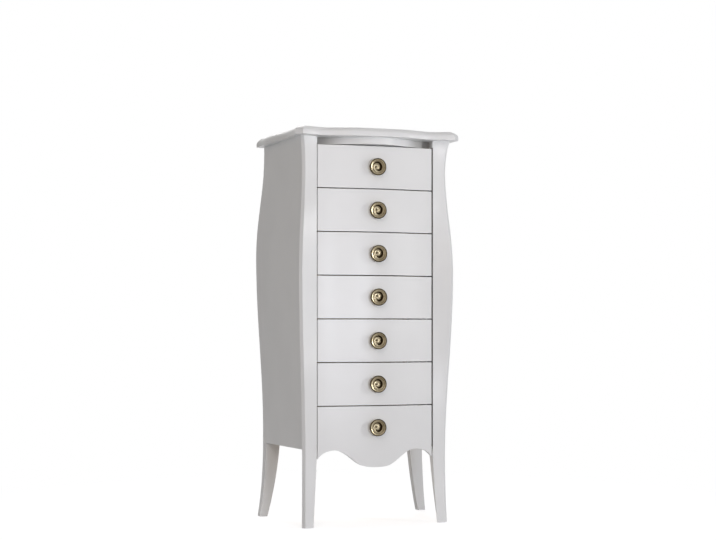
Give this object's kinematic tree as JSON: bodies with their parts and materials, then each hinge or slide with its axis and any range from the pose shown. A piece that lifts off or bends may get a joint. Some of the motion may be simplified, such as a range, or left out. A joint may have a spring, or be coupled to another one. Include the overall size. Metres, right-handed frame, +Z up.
{
  "type": "semainier chest of drawers",
  "caption": "Tall narrow chest with a column of sliding drawers, swelling corner posts running into splayed legs, a moulded serpentine top and a scalloped apron.",
  "frame": {"origin": "on the floor, below the middle of the top board", "axes": "+Z up, the drawers face -Y and slide out along -Y, +X to the right of someone facing the drawers"},
  "size_m": [0.5562, 0.3794, 1.15],
  "materials": {
    "white_lacquer": "smooth satin white lacquer over wood",
    "drawer_wood": "bare pale softwood and plywood, lightly sealed",
    "aged_brass": "cast brass, antiqued dark in the recesses",
    "screw_steel": "plain zinc-plated steel"
  },
  "bodies": {
    "case": {"top_board": "white_lacquer", "frieze_rail": "white_lacquer", "front_leg_left": "white_lacquer", "front_leg_right": "white_lacquer", "rear_leg_left": "white_lacquer", "rear_leg_right": "white_lacquer", "side_panel_left": "white_lacquer", "side_panel_right": "white_lacquer", "back_panel": "drawer_wood", "bottom_board": "drawer_wood", "drawer_runners": "drawer_wood"},
    "drawer_1": {"drawer_1_front": "white_lacquer", "drawer_1_side_left": "drawer_wood", "drawer_1_side_right": "drawer_wood", "drawer_1_back": "drawer_wood", "drawer_1_bottom": "drawer_wood", "drawer_1_knob": "aged_brass", "drawer_1_knob_screw": "screw_steel"},
    "drawer_2": {"drawer_2_front": "white_lacquer", "drawer_2_side_left": "drawer_wood", "drawer_2_side_right": "drawer_wood", "drawer_2_back": "drawer_wood", "drawer_2_bottom": "drawer_wood", "drawer_2_knob": "aged_brass", "drawer_2_knob_screw": "screw_steel"},
    "drawer_3": {"drawer_3_front": "white_lacquer", "drawer_3_side_left": "drawer_wood", "drawer_3_side_right": "drawer_wood", "drawer_3_back": "drawer_wood", "drawer_3_bottom": "drawer_wood", "drawer_3_knob": "aged_brass", "drawer_3_knob_screw": "screw_steel"},
    "drawer_4": {"drawer_4_front": "white_lacquer", "drawer_4_side_left": "drawer_wood", "drawer_4_side_right": "drawer_wood", "drawer_4_back": "drawer_wood", "drawer_4_bottom": "drawer_wood", "drawer_4_knob": "aged_brass", "drawer_4_knob_screw": "screw_steel"},
    "drawer_5": {"drawer_5_front": "white_lacquer", "drawer_5_side_left": "drawer_wood", "drawer_5_side_right": "drawer_wood", "drawer_5_back": "drawer_wood", "drawer_5_bottom": "drawer_wood", "drawer_5_knob": "aged_brass", "drawer_5_knob_screw": "screw_steel"},
    "drawer_6": {"drawer_6_front": "white_lacquer", "drawer_6_side_left": "drawer_wood", "drawer_6_side_right": "drawer_wood", "drawer_6_back": "drawer_wood", "drawer_6_bottom": "drawer_wood", "drawer_6_knob": "aged_brass", "drawer_6_knob_screw": "screw_steel"},
    "drawer_7": {"drawer_7_front": "white_lacquer", "drawer_7_side_left": "drawer_wood", "drawer_7_side_right": "drawer_wood", "drawer_7_back": "drawer_wood", "drawer_7_bottom": "drawer_wood", "drawer_7_knob": "aged_brass", "drawer_7_knob_screw": "screw_steel"}
  },
  "joints": [
    {"name": "drawer_1_slide", "type": "slide", "parent": "case", "child": "drawer_1", "axis": [0, -1, 0], "range_m": [0, 0.22]},
    {"name": "drawer_2_slide", "type": "slide", "parent": "case", "child": "drawer_2", "axis": [0, -1, 0], "range_m": [0, 0.22]},
    {"name": "drawer_3_slide", "type": "slide", "parent": "case", "child": "drawer_3", "axis": [0, -1, 0], "range_m": [0, 0.22]},
    {"name": "drawer_4_slide", "type": "slide", "parent": "case", "child": "drawer_4", "axis": [0, -1, 0], "range_m": [0, 0.22]},
    {"name": "drawer_5_slide", "type": "slide", "parent": "case", "child": "drawer_5", "axis": [0, -1, 0], "range_m": [0, 0.22]},
    {"name": "drawer_6_slide", "type": "slide", "parent": "case", "child": "drawer_6", "axis": [0, -1, 0], "range_m": [0, 0.22]},
    {"name": "drawer_7_slide", "type": "slide", "parent": "case", "child": "drawer_7", "axis": [0, -1, 0], "range_m": [0, 0.22]}
  ]
}
